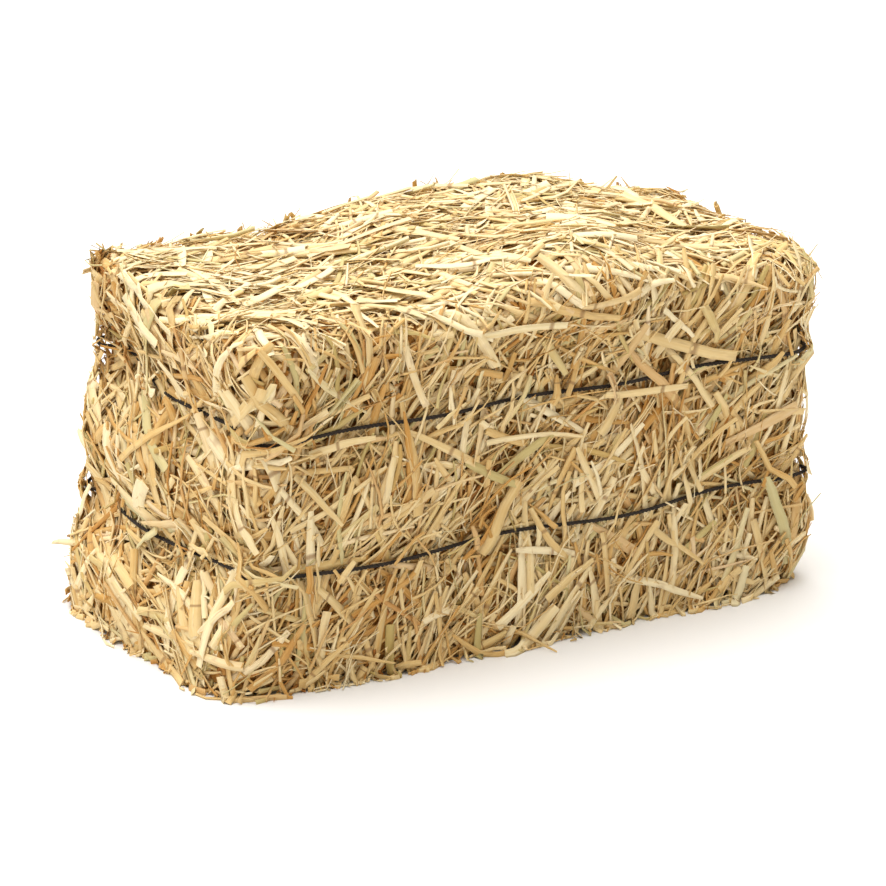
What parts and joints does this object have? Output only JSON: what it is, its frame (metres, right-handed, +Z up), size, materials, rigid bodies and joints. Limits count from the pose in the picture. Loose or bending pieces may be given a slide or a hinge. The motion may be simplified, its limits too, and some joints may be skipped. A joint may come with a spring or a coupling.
{
  "type": "square straw bale",
  "caption": "Square bale of pressed straw, lying on edge and tied lengthwise by two loops of dark twine, to stand on a floor or stack as a display block or seat.",
  "frame": {"origin": "middle of the bale's box at floor level, on the flat underside", "axes": "+Z up, +X along the bale's length, and the long front side faces -Y"},
  "size_m": [0.5372, 0.267, 0.2917],
  "materials": {
    "straw": "dry cereal straw, matt to satin",
    "twine": "dark twisted baling twine, matt"
  },
  "bodies": {
    "root": {"straw": "straw", "upper_twine": "twine", "lower_twine": "twine"}
  },
  "joints": []
}
